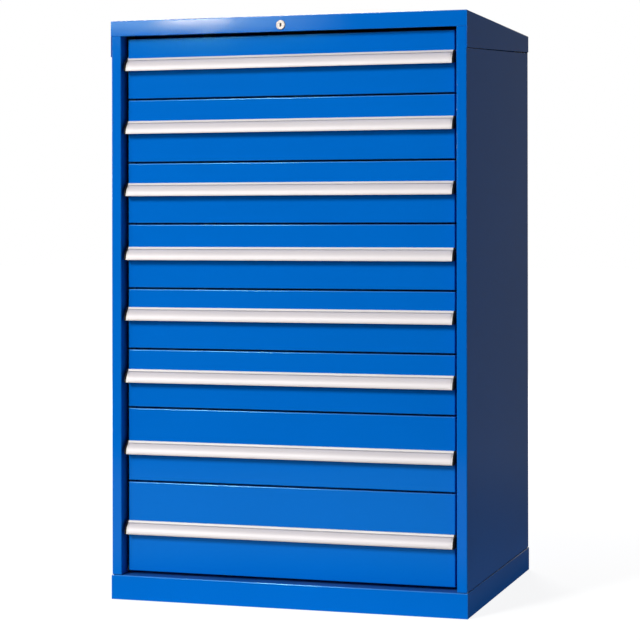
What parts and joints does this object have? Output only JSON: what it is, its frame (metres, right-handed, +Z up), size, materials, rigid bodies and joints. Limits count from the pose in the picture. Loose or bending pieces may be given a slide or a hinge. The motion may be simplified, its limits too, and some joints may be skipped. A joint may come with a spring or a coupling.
{
  "type": "drawer cabinet",
  "caption": "Free-standing steel cabinet with full-width drawers on telescopic roller slides, bar pulls and one lock that holds all the drawers.",
  "frame": {"origin": "middle of the footprint on the floor under the cabinet", "axes": "+X to the cabinet's right as seen from the front, +Y to the rear, +Z up; drawers face -Y"},
  "size_m": [0.762, 0.6116, 1.2065],
  "materials": {
    "blue_paint": "semi-gloss",
    "grey_paint": "satin",
    "zinc_steel": "zinc plated",
    "aluminium": "satin anodised",
    "black_plastic": "fine grained",
    "lock_chrome": "satin"
  },
  "bodies": {
    "cabinet": {"top_cap": "blue_paint", "side_panel_right": "blue_paint", "side_panel_left": "blue_paint", "back_panel": "blue_paint", "base": "blue_paint", "front_posts": "zinc_steel", "rear_posts": "zinc_steel", "cabinet_rails": "zinc_steel", "lock_barrel": "lock_chrome", "lock_nut": "zinc_steel", "slide_guides": "zinc_steel", "lock_bar_guides": "zinc_steel"},
    "lock_core": {"lock_plug": "lock_chrome", "lock_cam": "zinc_steel", "lock_cam_screw": "zinc_steel"},
    "lock_shuttle": {"lock_slide": "zinc_steel"},
    "lock_rod": {"lock_bar": "zinc_steel"},
    "drawer_1": {"drawer_1_box": "grey_paint", "drawer_1_front": "blue_paint", "drawer_1_pull": "aluminium", "drawer_1_end_caps": "black_plastic"},
    "carriage_1": {"drawer_1_carriage": "zinc_steel"},
    "drawer_2": {"drawer_2_box": "grey_paint", "drawer_2_front": "blue_paint", "drawer_2_pull": "aluminium", "drawer_2_end_caps": "black_plastic"},
    "carriage_2": {"drawer_2_carriage": "zinc_steel"},
    "drawer_3": {"drawer_3_box": "grey_paint", "drawer_3_front": "blue_paint", "drawer_3_pull": "aluminium", "drawer_3_end_caps": "black_plastic"},
    "carriage_3": {"drawer_3_carriage": "zinc_steel"},
    "drawer_4": {"drawer_4_box": "grey_paint", "drawer_4_front": "blue_paint", "drawer_4_pull": "aluminium", "drawer_4_end_caps": "black_plastic"},
    "carriage_4": {"drawer_4_carriage": "zinc_steel"},
    "drawer_5": {"drawer_5_box": "grey_paint", "drawer_5_front": "blue_paint", "drawer_5_pull": "aluminium", "drawer_5_end_caps": "black_plastic"},
    "carriage_5": {"drawer_5_carriage": "zinc_steel"},
    "drawer_6": {"drawer_6_box": "grey_paint", "drawer_6_front": "blue_paint", "drawer_6_pull": "aluminium", "drawer_6_end_caps": "black_plastic"},
    "carriage_6": {"drawer_6_carriage": "zinc_steel"},
    "drawer_7": {"drawer_7_box": "grey_paint", "drawer_7_front": "blue_paint", "drawer_7_pull": "aluminium", "drawer_7_end_caps": "black_plastic"},
    "carriage_7": {"drawer_7_carriage": "zinc_steel"},
    "drawer_8": {"drawer_8_box": "grey_paint", "drawer_8_front": "blue_paint", "drawer_8_pull": "aluminium", "drawer_8_end_caps": "black_plastic"},
    "carriage_8": {"drawer_8_carriage": "zinc_steel"}
  },
  "joints": [
    {"name": "drawer_1_slide", "type": "slide", "parent": "cabinet", "child": "drawer_1", "axis": [0, -1, 0], "range_m": [0, 0.52]},
    {"name": "drawer_2_slide", "type": "slide", "parent": "cabinet", "child": "drawer_2", "axis": [0, -1, 0], "range_m": [0, 0.52]},
    {"name": "drawer_3_slide", "type": "slide", "parent": "cabinet", "child": "drawer_3", "axis": [0, -1, 0], "range_m": [0, 0.52]},
    {"name": "drawer_4_slide", "type": "slide", "parent": "cabinet", "child": "drawer_4", "axis": [0, -1, 0], "range_m": [0, 0.52]},
    {"name": "drawer_5_slide", "type": "slide", "parent": "cabinet", "child": "drawer_5", "axis": [0, -1, 0], "range_m": [0, 0.52]},
    {"name": "drawer_6_slide", "type": "slide", "parent": "cabinet", "child": "drawer_6", "axis": [0, -1, 0], "range_m": [0, 0.52]},
    {"name": "drawer_7_slide", "type": "slide", "parent": "cabinet", "child": "drawer_7", "axis": [0, -1, 0], "range_m": [0, 0.52]},
    {"name": "drawer_8_slide", "type": "slide", "parent": "cabinet", "child": "drawer_8", "axis": [0, -1, 0], "range_m": [0, 0.52]},
    {"name": "carriage_1_slide", "type": "slide", "parent": "cabinet", "child": "carriage_1", "axis": [0, -1, 0], "range_m": [0, 0.26]},
    {"name": "carriage_2_slide", "type": "slide", "parent": "cabinet", "child": "carriage_2", "axis": [0, -1, 0], "range_m": [0, 0.26]},
    {"name": "carriage_3_slide", "type": "slide", "parent": "cabinet", "child": "carriage_3", "axis": [0, -1, 0], "range_m": [0, 0.26]},
    {"name": "carriage_4_slide", "type": "slide", "parent": "cabinet", "child": "carriage_4", "axis": [0, -1, 0], "range_m": [0, 0.26]},
    {"name": "carriage_5_slide", "type": "slide", "parent": "cabinet", "child": "carriage_5", "axis": [0, -1, 0], "range_m": [0, 0.26]},
    {"name": "carriage_6_slide", "type": "slide", "parent": "cabinet", "child": "carriage_6", "axis": [0, -1, 0], "range_m": [0, 0.26]},
    {"name": "carriage_7_slide", "type": "slide", "parent": "cabinet", "child": "carriage_7", "axis": [0, -1, 0], "range_m": [0, 0.26]},
    {"name": "carriage_8_slide", "type": "slide", "parent": "cabinet", "child": "carriage_8", "axis": [0, -1, 0], "range_m": [0, 0.26]},
    {"name": "lock_turn", "type": "hinge", "parent": "cabinet", "child": "lock_core", "pos_m": [-0.0072, -0.3038, 1.1876], "axis": [0, -1, 0], "range_deg": [0, 90]},
    {"name": "lock_shuttle_slide", "type": "slide", "parent": "cabinet", "child": "lock_shuttle", "axis": [1, 0, 0], "range_m": [0, 0.0099]},
    {"name": "lock_rod_drop", "type": "slide", "parent": "cabinet", "child": "lock_rod", "axis": [0, 0, -1], "range_m": [0, 0.0099]}
  ],
  "couplings": [
    {"joint": "carriage_1_slide", "follows": "drawer_1_slide", "ratio": 0.5},
    {"joint": "carriage_2_slide", "follows": "drawer_2_slide", "ratio": 0.5},
    {"joint": "carriage_3_slide", "follows": "drawer_3_slide", "ratio": 0.5},
    {"joint": "carriage_4_slide", "follows": "drawer_4_slide", "ratio": 0.5},
    {"joint": "carriage_5_slide", "follows": "drawer_5_slide", "ratio": 0.5},
    {"joint": "carriage_6_slide", "follows": "drawer_6_slide", "ratio": 0.5},
    {"joint": "carriage_7_slide", "follows": "drawer_7_slide", "ratio": 0.5},
    {"joint": "carriage_8_slide", "follows": "drawer_8_slide", "ratio": 0.5},
    {"joint": "lock_shuttle_slide", "follows": "lock_rod_drop", "ratio": 1},
    {"joint": "lock_turn", "follows": "lock_rod_drop", "rad_per_m": 158.66}
  ]
}
